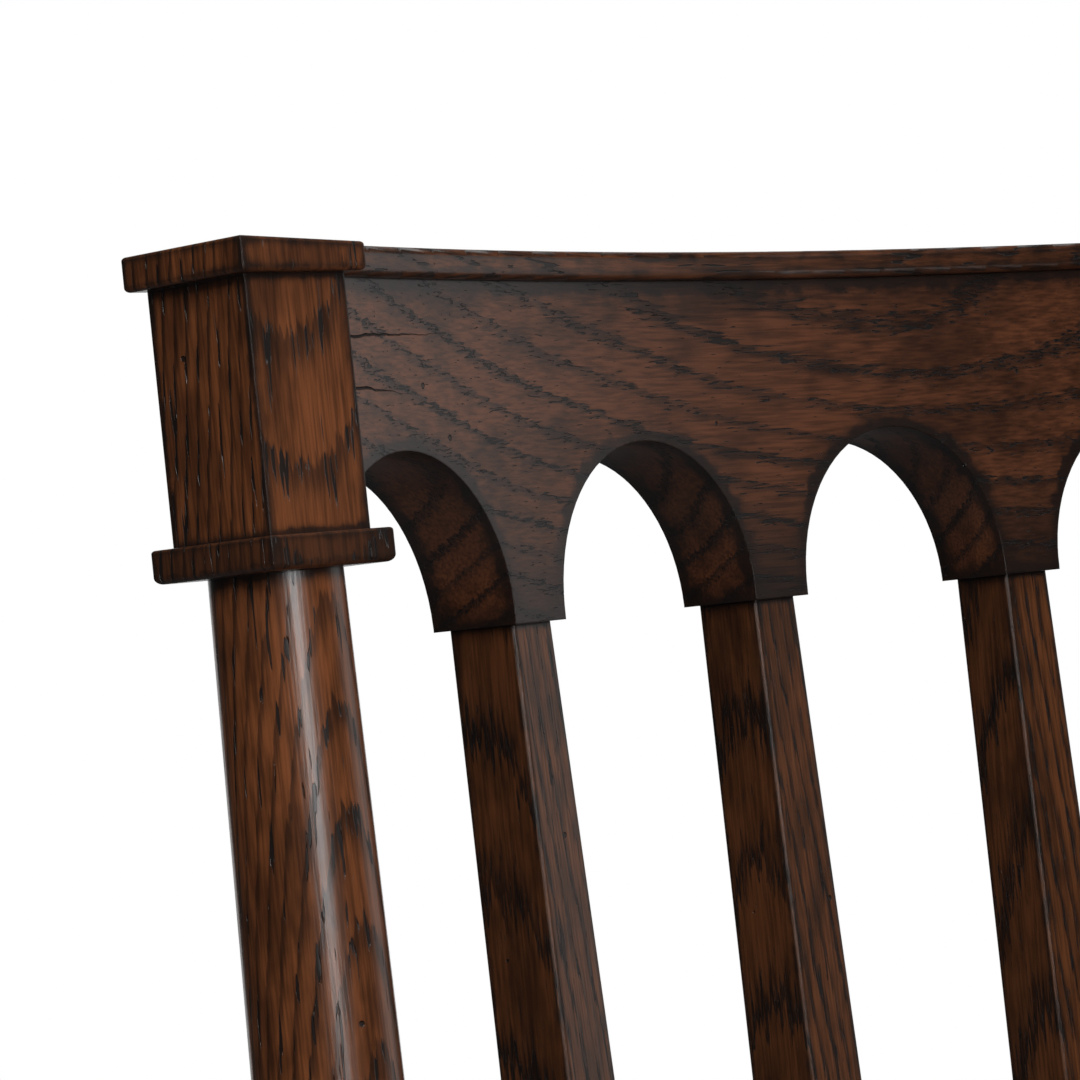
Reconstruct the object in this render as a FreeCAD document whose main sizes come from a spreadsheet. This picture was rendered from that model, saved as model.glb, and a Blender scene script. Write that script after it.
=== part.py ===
import FreeCAD, Part
import math
import os
import re
import types

import Sketcher
from FreeCAD import Placement, Rotation, Vector

# An oak dining armchair with a curved, arcaded back: +Z up, -Y front, +X on the right seen from the front.
# Everything is laid out from the middle of the rear posts at floor level, then centred as a whole.

os.makedirs("parts", exist_ok=True)
doc = FreeCAD.newDocument("arcaded_armchair")
sheet = doc.addObject("Spreadsheet::Sheet", "Dims")

# Driving dimensions, in millimetres and degrees
SIZES = {
    # plan of the four posts, and the heights the sitter feels
    "seat_height": 450,
    "seat_depth": 445,
    "front_spacing": 570,
    "post_spacing": 513.8,
    # the raked back, measured up its own slope from the seat
    "back_rake": 8.157,
    "back_rise": 530,
    # square head of the rear posts
    "block_side": 41.3,
    "block_height": 76.6,
    "plate_overhang": 4.75,
    "cap_height": 10.7,
    "cap_fall": 2.1,
    "cap_top_round": 1.2,
    "cap_foot_round": 1.5,
    "collar_height": 10.2,
    "collar_top_round": 1,
    "collar_foot_round": 2.2,
    # turned column and squared foot of the rear posts
    "column_top_dia": 40.4,
    "column_foot_dia": 50.5,
    "plinth_side": 51,
    "plinth_height": 110,
    "knee_height": 348,
    "rear_foot_splay": 36,
    "rear_foot_side": 40,
    # crest rail with its arches and moulding
    "rail_radius": 979.3,
    "rail_thickness": 32,
    "rail_height": 109,
    "arch_pitch": 133.55,
    "pendant_width": 27.85,
    "arch_stilt": 1.3,
    "arch_fall": 6.5,
    "moulding_proud": 4,
    "moulding_height": 9.4,
    "moulding_round": 2.4,
    # spindles under the pendants
    "spindle_top_width": 21.4,
    "spindle_top_depth": 25.1,
    "spindle_foot_width": 31.8,
    "spindle_foot_depth": 29,
    "spindle_lean": 1.576,
    "spindle_arris": 1.2,
    "spindle_tenon_side": 11,
    # lower rail of the back
    "lower_rail_gap": 46,
    "lower_rail_height": 48,
    "lower_rail_thickness": 32,
    "lower_rail_round": 4,
    # front posts: foot, stretcher block, leg, seat block, arm support
    "front_block_side": 46,
    "front_foot_dia": 34,
    "front_foot_top_dia": 41,
    "stretcher_block_foot": 50,
    "stretcher_block_height": 88,
    "leg_top_dia": 38,
    "leg_foot_dia": 44,
    "seat_block_reach": 14,
    "support_foot_dia": 37,
    "support_top_dia": 31,
    "support_tenon_dia": 20,
    # arms, set a clear length of column above the collar at its foot
    "arm_clear": 56.6,
    "arm_width": 60,
    "arm_rear_width": 40,
    "arm_thickness": 32,
    "arm_overhang": 66,
    "arm_roll_dia": 41,
    "arm_dip": 4,
    "arm_scoop": 7,
    "arm_round": 5,
    "arm_tenon_dia": 16,
    # seat boards and the frame under them
    "seat_thickness": 22,
    "seat_lip": 5,
    "seat_side_lip": 10,
    "seat_top_round": 9,
    "seat_foot_round": 4,
    "seat_rail_height": 58,
    "seat_rail_thickness": 24,
    "stretcher_height": 38,
    "stretcher_thickness": 23,
    "stretcher_round": 4,
    # mortises and tenons
    "tenon_length": 15,
    "tenon_thickness": 9,
    "tenon_shoulder": 7,
    "joint_clearance": 0.15,
    # trimming blocks and notches, in times the size of what they pass through
    "oversize": 4,
    # corner blocks and hardware
    "corner_leg": 46,
    "corner_gap": 3,
    "corner_height": 40,
    "screw_dia": 4,
    "screw_head_dia": 8,
    "screw_head_height": 3,
    "screw_bite": 14,
    "screw_cover": 16,
    "glide_dia": 25,
    "glide_height": 4,
    "glide_round": 1.2,
    "nail_dia": 3,
    "nail_length": 16,
}
SEAT_BOARDS = ("front", "middle", "back")
SIDES = {"left": -1, "right": 1}
for row, (name, value) in enumerate(SIZES.items(), 1):
    sheet.set("A%d" % row, name)
    sheet.set("B%d" % row, str(value))
    sheet.setAlias("B%d" % row, name)
doc.recompute()
d = types.SimpleNamespace(**{name: float(sheet.get(name)) for name in SIZES})

# Heights and angles that follow from the driving dimensions
PLUMB = Rotation()
UP = Vector(0, 0, 1)
ACROSS = Vector(1, 0, 0)
RAKE = Placement(Vector(0, 0, d.seat_height), Rotation(ACROSS, -d.back_rake))
SEAT_FOOT = d.seat_height - d.seat_thickness
RAIL_MIDDLE = SEAT_FOOT - d.seat_rail_height / 2
STRETCHER_MIDDLE = d.stretcher_block_foot + d.stretcher_block_height / 2
SIDE_SPLAY = (d.front_spacing - d.post_spacing) / 2 / d.seat_depth
BEND = d.plinth_side / 2 * math.tan(math.radians(d.back_rake / 2))
COLUMN_FOOT = d.plinth_height + d.collar_height
COLUMN_TOP = d.back_rise - d.block_height - d.collar_height
PENDANT_FOOT = d.back_rise - d.rail_height
LOWER_RAIL_TOP = d.lower_rail_gap + d.lower_rail_height
ARM_FOOT = d.seat_height + d.plinth_height + d.collar_height + d.arm_clear
ARM_TOP = ARM_FOOT + d.arm_thickness
ARM_MIDDLE = ARM_FOOT + d.arm_thickness / 2


def tie(piece, **sizes):
    """Bind properties of a piece to formulas written in the sheet's own names."""
    for prop, formula in sizes.items():
        text = re.sub(r"[a-z_]+", lambda word: "Dims." + word[0] if word[0] in SIZES else word[0], formula)
        piece.setExpression(prop, text)
    doc.recompute([piece])
    return piece


def box(name, place, length, width, height):
    """A block centred on its place."""
    block = tie(doc.addObject("Part::Box", name), Length=length, Width=width, Height=height)
    corner = Vector(block.Length.Value, block.Width.Value, block.Height.Value) * -0.5
    block.Placement = place * Placement(corner, PLUMB)
    return block


def standing(name, place, side, height):
    """A square block standing on its place."""
    block = box(name, place, side, side, height)
    block.Placement = place * Placement(Vector(-block.Length.Value / 2, -block.Width.Value / 2, 0), PLUMB)
    return block


def cone(name, place, foot_dia, top_dia, height):
    """A turned length standing on its place."""
    turned = doc.addObject("Part::Cone", name)
    tie(turned, Radius1=foot_dia + "/2", Radius2=top_dia + "/2", Height=height)
    turned.Placement = place
    return turned


def cylinder(name, place, dia, height):
    """A round pin standing on its place."""
    pin = tie(doc.addObject("Part::Cylinder", name), Radius="(%s)/2" % dia, Height=height)
    pin.Placement = place
    return pin


def fuse(name, pieces):
    whole = doc.addObject("Part::MultiFuse", name)
    whole.Shapes = pieces
    whole.Refine = True
    doc.recompute([whole])
    return whole


def cut(name, base, tools):
    rest = doc.addObject("Part::Cut", name)
    rest.Base = base
    rest.Tool = tools[0] if len(tools) == 1 else fuse(name + "_tools", tools)
    doc.recompute([rest])
    return rest


def common(name, base, tool):
    shared = doc.addObject("Part::Common", name)
    shared.Base = base
    shared.Tool = tool
    doc.recompute([shared])
    return shared


def rounded(name, base, radius, chosen):
    """Round the edges of a piece that the test picks out."""
    softened = doc.addObject("Part::Fillet", name)
    softened.Base = base
    edges = enumerate(base.Shape.Edges, 1)
    softened.Edges = [(number, radius, radius) for number, edge in edges if chosen(edge)]
    doc.recompute([softened])
    return softened


def origin_part(body, role):
    return next(part for part in body.Origin.OriginFeatures if part.Role == role)


def outline(body, plane, points):
    """A closed sketch of straight lines on one plane of the body; each corner is an (x, y) pair."""
    sketch = body.newObject("Sketcher::SketchObject", body.Name + "_outline")
    sketch.AttachmentSupport = [(origin_part(body, plane), "")]
    sketch.MapMode = "FlatFace"
    for start, end in zip(points, points[1:] + points[:1]):
        sketch.addGeometry(Part.LineSegment(Vector(*start, 0), Vector(*end, 0)))
    for line in range(len(points)):
        sketch.addConstraint(Sketcher.Constraint("Coincident", line, 2, (line + 1) % len(points), 1))
    return sketch


def rectangle(body, plane, left, right, foot, top):
    """A sketched rectangle whose four sides are formulas in the sheet's names."""
    sketch = outline(body, plane, [(-2, -1), (2, -1), (2, 1), (-2, 1)])
    for line, kind in enumerate(("Horizontal", "Vertical") * 2):
        sketch.addConstraint(Sketcher.Constraint(kind, line))
    for way, corner, formula in (
        ("DistanceX", 0, left), ("DistanceX", 2, right), ("DistanceY", 0, foot), ("DistanceY", 2, top)
    ):
        reach = -1 if corner == 0 else 1
        number = sketch.addConstraint(Sketcher.Constraint(way, -1, 1, corner, 1, reach))
        tie(sketch, **{"Constraints[%d]" % number: formula})
    return sketch


def pad(body, sketch, height):
    grown = body.newObject("PartDesign::Pad", body.Name + "_pad")
    grown.Profile = sketch
    tie(grown, Length=height)
    return grown


def soften(body, base, radius, chosen):
    """Round the edges of a body that the test picks out, to a radius from the sheet."""
    edges = enumerate(base.Shape.Edges, 1)
    softened = body.newObject("PartDesign::Fillet", body.Name + "_round")
    softened.Base = (base, ["Edge%d" % number for number, edge in edges if chosen(edge)])
    tie(softened, Radius=radius)
    return softened


def lies_at(height):
    """A test for edges that lie flat at one height of their own piece."""
    def test(edge):
        box_of_edge = edge.BoundBox
        return box_of_edge.ZLength < 0.01 and abs(box_of_edge.ZMin - height) < 0.01
    return test


def plate(name, place, half, height, top_round, foot_round):
    """A square moulded plate, its upper and lower edges rounded over."""
    body = doc.addObject("PartDesign::Body", name)
    square = rectangle(body, "XY_Plane", "-(%s)" % half, half, "-(%s)" % half, half)
    slab = pad(body, square, height)
    upper = soften(body, slab, top_round, lies_at(slab.Length.Value))
    body.Tip = soften(body, upper, foot_round, lies_at(0))
    doc.recompute([body])
    body.Placement = place
    return body


def collar(name, place, half):
    """A plate that rounds in towards a column below it."""
    spread = half + " + plate_overhang"
    return plate(name, place, spread, "collar_height", "collar_top_round", "collar_foot_round")


def upturned_collar(name, place, half):
    """A collar used as the foot of a column, so its full rounding faces up."""
    spread = half + " + plate_overhang"
    return plate(name, place, spread, "collar_height", "collar_foot_round", "collar_top_round")


def runs_round(edge):
    """A test for the long edges of a bent bar."""
    return edge.Curve.TypeId == "Part::GeomCircle"


def longer_than(length):
    """A test for edges above a length."""
    def test(edge):
        return edge.Length > length
    return test


def curved_bar(name, place, front, back, height, rounding):
    """A bar bent to an arc in plan about its place, reaching as far as the axes of the rear posts."""
    body = doc.addObject("PartDesign::Body", name)
    section = rectangle(body, "XZ_Plane", front, back, "0", height)
    bent = body.newObject("PartDesign::Revolution", name + "_bend")
    bent.Profile = section
    bent.ReferenceAxis = (origin_part(body, "Z_Axis"), [""])
    bent.Midplane = True
    tie(bent, Angle="2 * asin(post_spacing / 2 / (%s))" % front)
    body.Tip = bent
    if rounding:
        body.Tip = soften(body, bent, rounding, runs_round)
    doc.recompute([body])
    body.Placement = place * Placement(Vector(), Rotation(UP, 90))
    return body


def bar(name, start, end, width, height):
    """A straight bar from one point to another, level, with its width in plan."""
    run = end - start
    place = Placement((start + end) * 0.5, Rotation(ACROSS, run))
    stick = tie(doc.addObject("Part::Box", name), Width=width, Height=height)
    stick.Length = run.Length
    corner = Vector(run.Length, stick.Width.Value, stick.Height.Value) * -0.5
    stick.Placement = place * Placement(corner, PLUMB)
    return stick


def on_axis(side, height):
    """A point on the axis of a rear post, above the seat or on the splayed leg below it."""
    x = SIDES[side] * d.post_spacing / 2
    if height > d.seat_height:
        return Vector(x, (height - d.seat_height) * math.tan(math.radians(d.back_rake)), height)
    drop = max(0, d.knee_height - height) / (d.knee_height - d.glide_height)
    return Vector(x, d.rear_foot_splay * drop, height)


def front_axis(side, height):
    return Vector(SIDES[side] * d.front_spacing / 2, -d.seat_depth, height)


def in_back(x, y, rise, turn=0):
    """A place on the raked back, its Z axis up the slope."""
    return RAKE * Placement(Vector(x, y, rise), Rotation(UP, turn))


mortises = {}


def take_tenon(post, tool):
    mortises.setdefault(post, []).append(tool)


def falling_cap(name, place):
    """A square plate with rounded edges, standing on its place; its top falls towards the +Y side."""
    half = "block_side / 2 + plate_overhang"
    slab = doc.addObject("Part::Wedge", name + "_slab")
    tie(
        slab, Xmin="-(%s)" % half, Xmax=half, X2min="-(%s)" % half, X2max=half,
        Ymin="-(%s)" % half, Ymax=half,
        Zmin="0", Zmax="cap_height", Z2min="0", Z2max="cap_height - cap_fall",
    )
    slab.Placement = place
    doc.recompute([slab])

    def heights(edge):
        return [place.inverse().multVec(corner.Point).z for corner in edge.Vertexes]

    def upper(edge):
        return min(heights(edge)) > (d.cap_height - d.cap_fall) / 2

    def lower(edge):
        return max(heights(edge)) < d.cap_foot_round / 2

    return rounded(name, rounded(name + "_top", slab, d.cap_top_round, upper), d.cap_foot_round, lower)


# Rear posts: one length of oak each, from the splayed foot through the turned column to the moulded cap
def rear_post_blank(side):
    x = SIDES[side] * d.post_spacing / 2
    name = "rear_%s_" % side
    leg = doc.addObject("Part::Wedge", name + "leg")
    tie(
        leg, Xmin="-rear_foot_side / 2", Xmax="rear_foot_side / 2",
        X2min="-plinth_side / 2", X2max="plinth_side / 2",
        Ymin="glide_height", Ymax="knee_height",
        Zmin="-rear_foot_splay - rear_foot_side / 2", Zmax="rear_foot_side / 2 - rear_foot_splay",
        Z2min="-plinth_side / 2", Z2max="plinth_side / 2",
    )
    leg.Placement = Placement(Vector(x, 0, 0), Rotation(ACROSS, 90))
    joint = standing(name + "joint", Placement(Vector(x, 0, d.knee_height), PLUMB), "plinth_side",
                     "seat_height - knee_height + plinth_side / 2 * tan(back_rake / 2 * 1deg)")
    plinth = standing(name + "plinth", in_back(x, 0, -BEND), "plinth_side",
                      "plinth_height + plinth_side / 2 * tan(back_rake / 2 * 1deg)")
    foot = upturned_collar(name + "base", in_back(x, 0, d.plinth_height), "plinth_side / 2")
    column = cone(name + "column", in_back(x, 0, COLUMN_FOOT), "column_foot_dia", "column_top_dia",
                  "back_rise - block_height - plinth_height - 2 * collar_height")
    neck = collar(name + "collar", in_back(x, 0, COLUMN_TOP), "block_side / 2")
    head = standing(name + "head", in_back(x, 0, d.back_rise - d.block_height), "block_side", "block_height")
    cap = falling_cap(name + "cap", in_back(x, 0, d.back_rise, SIDES[side] * 90))
    return fuse(name + "blank", [leg, joint, plinth, foot, column, neck, head, cap])


# Front posts: foot, stretcher block, leg column, seat block and arm support turned from one length
def front_post_blank(side):
    name = "front_%s_" % side

    def at(height):
        return Placement(front_axis(side, height), PLUMB)

    block_top = d.stretcher_block_foot + d.stretcher_block_height
    seat_block = SEAT_FOOT - d.seat_rail_height - d.seat_block_reach
    support = d.seat_height + d.seat_block_reach
    pieces = [
        cone(name + "foot", at(d.glide_height), "front_foot_dia", "front_foot_top_dia",
             "stretcher_block_foot - glide_height"),
        standing(name + "stretcher_block", at(d.stretcher_block_foot), "front_block_side",
                 "stretcher_block_height"),
        upturned_collar(name + "leg_base", at(block_top), "front_block_side / 2"),
        cone(name + "leg", at(block_top + d.collar_height), "leg_foot_dia", "leg_top_dia",
             "seat_height - seat_thickness - seat_rail_height - seat_block_reach - stretcher_block_foot"
             " - stretcher_block_height - 2 * collar_height"),
        collar(name + "leg_collar", at(seat_block - d.collar_height), "front_block_side / 2"),
        standing(name + "seat_block", at(seat_block), "front_block_side",
                 "seat_thickness + seat_rail_height + 2 * seat_block_reach"),
        upturned_collar(name + "support_base", at(support), "front_block_side / 2 - plate_overhang / 2"),
        cone(name + "support", at(support + d.collar_height), "support_foot_dia", "support_top_dia",
             "plinth_height + arm_clear - seat_block_reach - collar_height"),
        collar(name + "support_collar", at(ARM_FOOT - d.collar_height),
               "front_block_side / 2 - plate_overhang"),
        cylinder(name + "tenon", at(ARM_FOOT), "support_tenon_dia", "arm_thickness / 2"),
    ]
    return fuse(name + "blank", pieces)


rear_blanks = {side: rear_post_blank(side) for side in SIDES}
front_blanks = {side: front_post_blank(side) for side in SIDES}
finished = {}

# Crest rail: bent in plan, with half-round arches cut square to the curve, so every pendant keeps its width
BEND_CENTRE = -math.sqrt((d.rail_radius + d.rail_thickness / 2) ** 2 - (d.post_spacing / 2) ** 2)
ARCH_STEP = math.degrees(d.arch_pitch / d.rail_radius)
ARCHES = (-1.5, -0.5, 0.5, 1.5)
SPINDLES = {"left": -1, "centre": 0, "right": 1}
HEAD_GAP = "post_spacing - block_side"


def arch_cutter(number, step):
    """A flaring half-round cutter through the middle of one arch, falling a little towards the back."""
    place = in_back(0, BEND_CENTRE, PENDANT_FOOT + d.arch_stilt, -step * ARCH_STEP)
    half = "(arch_pitch - pendant_width) / 2 / rail_radius"
    near = "(rail_radius - rail_thickness)"
    far = "(rail_radius + 2 * rail_thickness)"
    crown = doc.addObject("Part::Cone", "arch_crown_%d" % number)
    tie(crown, Radius1=half + " * " + near, Radius2=half + " * " + far, Height="3 * rail_thickness")
    through_rail = Rotation(ACROSS, -90 - d.arch_fall)
    middle = Placement(Vector(0, d.rail_radius + d.rail_thickness / 2, 0), through_rail)
    crown.Placement = place * middle * Placement(Vector(0, 0, -crown.Height.Value / 2), PLUMB)
    stilt = doc.addObject("Part::Wedge", "arch_stilt_%d" % number)
    tie(
        stilt, Ymin=near, Ymax=far, Xmin="-%s * %s" % (half, near), Xmax=half + " * " + near,
        X2min="-%s * %s" % (half, far), X2max=half + " * " + far,
        Zmin="-2 * arch_stilt", Zmax="0", Z2min="-2 * arch_stilt", Z2max="0",
    )
    stilt.Placement = place
    return [crown, stilt]


def across_back(name, rise, length, height):
    """A block that trims a back rail to the faces of the posts."""
    return box(name, in_back(0, 0, rise), length, "oversize * plinth_side", height)


def back_tenon(name, rise, length, height, forward, grow=0):
    """The tenons at both ends of a curved rail, one straight tongue on each side; grown for the mortise."""
    spread = " + 2 * joint_clearance" if grow else ""
    place = {side: in_back(SIDES[side] * length, forward, rise) for side in SIDES}
    return [box(name + "_" + side, place[side], "2 * tenon_length" + spread, "tenon_thickness" + spread,
                height + spread) for side in SIDES]


def rail_offset(x):
    """How far behind the post axes the middle of the bent rail runs, at a distance from its centre."""
    return BEND_CENTRE + math.sqrt((d.rail_radius + d.rail_thickness / 2) ** 2 - x ** 2)


crest_bar = curved_bar("crest_bar", in_back(0, BEND_CENTRE, PENDANT_FOOT), "rail_radius",
                       "rail_radius + rail_thickness", "rail_height", None)
crest_trim = across_back("crest_trim", d.back_rise - d.rail_height / 2, HEAD_GAP, "oversize * rail_height")
crest_blank = common("crest_blank", crest_bar, crest_trim)
cutters = [tool for number, step in enumerate(ARCHES) for tool in arch_cutter(number, step)]
crest_arcade = cut("crest_arcade", crest_blank, cutters)
head_face = (d.post_spacing - d.block_side) / 2
crest_tenon = ("crest_tenon", d.back_rise - d.block_height / 2 + d.tenon_shoulder, head_face,
               "block_height / 2", rail_offset(head_face))
crest_whole = fuse("crest_whole", [crest_arcade] + back_tenon(*crest_tenon))
for side, tool in zip(SIDES, back_tenon(*crest_tenon, grow=1)):
    take_tenon("rear_post_" + side, tool)

# Crest moulding: a rounded strip laid along the top of the rail between the two caps
moulding_bar = curved_bar(
    "moulding_bar", in_back(0, BEND_CENTRE, d.back_rise), "rail_radius - moulding_proud",
    "rail_radius + rail_thickness + moulding_proud", "moulding_height", "moulding_round")
moulding_trim = across_back("moulding_trim", d.back_rise, HEAD_GAP + " - 2 * plate_overhang", "rail_height")
finished["crest_moulding"] = common("crest_moulding", moulding_bar, moulding_trim)

# Lower back rail: bent to the same curve, brought forward to meet the feet of the leaning spindles
SPINDLE_RUN = PENDANT_FOOT - LOWER_RAIL_TOP
LOWER_FORWARD = -SPINDLE_RUN * math.tan(math.radians(d.spindle_lean))
lower_front = "rail_radius + (rail_thickness - lower_rail_thickness) / 2"
lower_bar = curved_bar("lower_bar", in_back(0, BEND_CENTRE + LOWER_FORWARD, d.lower_rail_gap), lower_front,
                       lower_front + " + lower_rail_thickness", "lower_rail_height", "lower_rail_round")
lower_trim = across_back("lower_trim", LOWER_RAIL_TOP, "post_spacing - plinth_side",
                         "oversize * lower_rail_height")
lower_blank = common("lower_blank", lower_bar, lower_trim)
plinth_face = (d.post_spacing - d.plinth_side) / 2
lower_tenon = ("lower_tenon", d.lower_rail_gap + d.lower_rail_height / 2, plinth_face,
               "lower_rail_height - 2 * tenon_shoulder", rail_offset(plinth_face) + LOWER_FORWARD)
lower_whole = fuse("lower_whole", [lower_blank] + back_tenon(*lower_tenon))
for side, tool in zip(SIDES, back_tenon(*lower_tenon, grow=1)):
    take_tenon("rear_post_" + side, tool)


# Spindles: tapered rectangular sticks with worn arrises, tenoned into the pendants and the lower rail
def spindle_place(where):
    radius = d.rail_radius + d.rail_thickness / 2
    top = in_back(0, BEND_CENTRE, PENDANT_FOOT, -SPINDLES[where] * ARCH_STEP)
    return top * Placement(Vector(0, radius, 0), Rotation(ACROSS, -90 - d.spindle_lean))


def spindle_tongue(where, grow=0):
    """One straight tongue down the middle of the spindle, a tenon at each end; grown for mortises."""
    side = "spindle_tenon_side" + (" + 2 * joint_clearance" if grow else "")
    reach = SPINDLE_RUN + 2 * (d.tenon_length + d.joint_clearance * grow)
    tongue = tie(doc.addObject("Part::Box", "spindle_tongue_" + where), Length=side, Height=side)
    tongue.Width = reach
    middle = Vector(-tongue.Length.Value / 2, (SPINDLE_RUN - reach) / 2, -tongue.Height.Value / 2)
    tongue.Placement = spindle_place(where) * Placement(middle, PLUMB)
    return tongue


def spindle(where):
    stick = doc.addObject("Part::Wedge", "spindle_stick_" + where)
    tie(
        stick, Xmin="-spindle_top_width / 2", Xmax="spindle_top_width / 2", Zmin="-spindle_top_depth / 2",
        Zmax="spindle_top_depth / 2", X2min="-spindle_foot_width / 2", X2max="spindle_foot_width / 2",
        Z2min="-spindle_foot_depth / 2", Z2max="spindle_foot_depth / 2",
    )
    stick.Ymin = -BEND
    stick.Ymax = SPINDLE_RUN + BEND
    stick.Placement = spindle_place(where)
    doc.recompute([stick])
    worn = rounded("spindle_worn_" + where, stick, d.spindle_arris, longer_than(SPINDLE_RUN))
    run = across_back("spindle_run_" + where, LOWER_RAIL_TOP + SPINDLE_RUN / 2, "post_spacing",
                      "back_rise - rail_height - lower_rail_gap - lower_rail_height")
    trimmed = common("spindle_trimmed_" + where, worn, run)
    return fuse("spindle_" + where, [trimmed, spindle_tongue(where)])


spindle_mortises = []
for where in SPINDLES:
    finished["spindle_" + where] = spindle(where)
    spindle_mortises.append(spindle_tongue(where, grow=1))
finished["crest_rail"] = cut("crest_rail", crest_whole, spindle_mortises)
finished["lower_back_rail"] = cut("lower_back_rail", lower_whole, spindle_mortises)


# Seat rails and stretchers: straight bars let into the posts with a tenon at each end
def tenoned_bar(name, start, end, inset, width, height, blanks, posts, rounding):
    """A bar from post to post, trimmed to their faces; each tenon tip stays an inset off the post axis."""
    way = (end - start).normalize()
    stick = bar(name + "_bar", start, end, width, height)

    def upper_arris(edge):
        return edge.Length > (end - start).Length / 2 and edge.BoundBox.ZMin > start.z

    if rounding:
        stick = rounded(name + "_eased", stick, rounding, upper_arris)
    trimmed = cut(name + "_trimmed", stick, blanks)
    tips = start + way * inset[0], end - way * inset[1]
    tongue = bar(name + "_tongue", *tips, "tenon_thickness", height + " - 2 * tenon_shoulder")
    slack = way * d.joint_clearance
    mortise = bar(
        name + "_mortise", tips[0] - slack, tips[1] + slack, "tenon_thickness + 2 * joint_clearance",
        height + " - 2 * tenon_shoulder + 2 * joint_clearance")
    for post in posts:
        take_tenon(post, mortise)
    return fuse(name + "_whole", [trimmed, tongue])


FRONT_TIP = d.front_block_side / 2 - d.tenon_length
REAR_TIP = d.plinth_side / 2 - d.tenon_length
FOOT_TIP = d.rear_foot_side / 2 - d.tenon_length + (d.plinth_side - d.rear_foot_side) / 4
frame_bars = {}
for kind, height, thick, tall, rear_tip, rounding in (
    ("seat_rail", RAIL_MIDDLE, "seat_rail_thickness", "seat_rail_height", REAR_TIP, None),
    ("stretcher", STRETCHER_MIDDLE, "stretcher_thickness", "stretcher_height", FOOT_TIP, d.stretcher_round),
):
    front = [front_axis(side, height) for side in SIDES]
    rear = [on_axis(side, height) for side in SIDES]
    section = thick, tall
    frame_bars["front_" + kind] = tenoned_bar(
        "front_" + kind, *front, (FRONT_TIP, FRONT_TIP), *section, list(front_blanks.values()),
        ["front_post_left", "front_post_right"], rounding)
    frame_bars["back_" + kind] = tenoned_bar(
        "back_" + kind, *rear, (rear_tip, rear_tip), *section, list(rear_blanks.values()),
        ["rear_post_left", "rear_post_right"], rounding)
    for side, fore, aft in zip(SIDES, front, rear):
        frame_bars[side + "_" + kind] = tenoned_bar(
            side + "_" + kind, fore, aft, (FRONT_TIP, rear_tip), *section,
            [front_blanks[side], rear_blanks[side]], ["front_post_" + side, "rear_post_" + side], rounding)


# Arms: tapered in plan, hollowed above and below, rolled at the front, coped and pinned to the columns
def long_hollow(name, place, start, end, depth, surface, above):
    """A wide cylinder lying across the arm, which hollows one face between two points of its length."""
    half_chord = (end - start) / 2
    radius = (half_chord ** 2 + depth ** 2) / 2 / depth
    hollow = doc.addObject("Part::Cylinder", name)
    hollow.Radius = radius
    tie(hollow, Height="2 * arm_width")
    centre = Vector(above * d.arm_width, start + half_chord, surface + above * (radius - depth))
    hollow.Placement = place * Placement(centre, Rotation(Vector(0, 1, 0), -90 * above))
    return hollow


def arm(side):
    name = "arm_%s_" % side
    fore = front_axis(side, ARM_TOP)
    aft = Vector(on_axis(side, ARM_MIDDLE).x, on_axis(side, ARM_MIDDLE).y, ARM_TOP)
    run = aft - fore
    place = Placement(fore, Rotation(Vector(0, 1, 0), run))
    roll_centre = d.arm_roll_dia / 2 - d.arm_overhang
    rear = run.Length - d.column_foot_dia / 2
    slab = tie(doc.addObject("Part::Box", name + "slab"), Length="2 * arm_width", Height="arm_thickness")
    slab.Width = run.Length - roll_centre
    slab.Placement = place * Placement(Vector(-d.arm_width, roll_centre, -d.arm_thickness), PLUMB)
    across = Placement(Vector(-d.arm_width, roll_centre, -d.arm_roll_dia / 2), Rotation(Vector(0, 1, 0), 90))
    roll = cylinder(name + "roll", place * across, "arm_roll_dia", "2 * arm_width")
    dip = long_hollow(name + "dip", place, roll_centre, rear, d.arm_dip, 0, 1)
    underside = -d.arm_thickness
    scoop = long_hollow(name + "scoop", place, d.front_block_side / 2, rear, d.arm_scoop, underside, -1)
    profile = cut(name + "profile", fuse(name + "blank", [slab, roll]), [dip, scoop])
    plan = doc.addObject("Part::Wedge", name + "plan")
    tie(
        plan, Xmin="-arm_width / 2", Xmax="arm_width / 2",
        X2min="-arm_rear_width / 2", X2max="arm_rear_width / 2", Ymin="-arm_overhang",
        Zmin="-2 * arm_thickness", Zmax="arm_thickness", Z2min="-2 * arm_thickness", Z2max="arm_thickness",
    )
    plan.Ymax = run.Length
    plan.Placement = place
    doc.recompute([plan])
    sawn = common(name + "sawn", profile, plan)

    def on_flank(edge):
        size = edge.BoundBox
        return max(size.YLength, size.ZLength) > size.XLength and edge.CenterOfMass.y < aft.y - d.tenon_length

    eased = rounded(name + "eased", sawn, d.arm_round, on_flank)
    socket = cylinder(name + "socket", place * Placement(Vector(0, 0, -d.arm_thickness), PLUMB),
                      "support_tenon_dia + 2 * joint_clearance", "arm_thickness / 2 + joint_clearance")
    coped = cut(name + "coped", eased, [socket, rear_blanks[side]])
    tip = run.Length - d.tenon_length / 2
    pin_place = place * Placement(Vector(0, tip - 2 * d.tenon_length, -d.arm_thickness / 2),
                                  Rotation(ACROSS, -90))
    pin = cylinder(name + "pin", pin_place, "arm_tenon_dia", "2 * tenon_length")
    take_tenon("rear_post_" + side, cylinder(name + "bore", pin_place, "arm_tenon_dia + 2 * joint_clearance",
                                             "2 * tenon_length + joint_clearance"))
    return fuse("arm_" + side, [coped, pin])


for side in SIDES:
    finished["arm_" + side] = arm(side)


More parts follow.
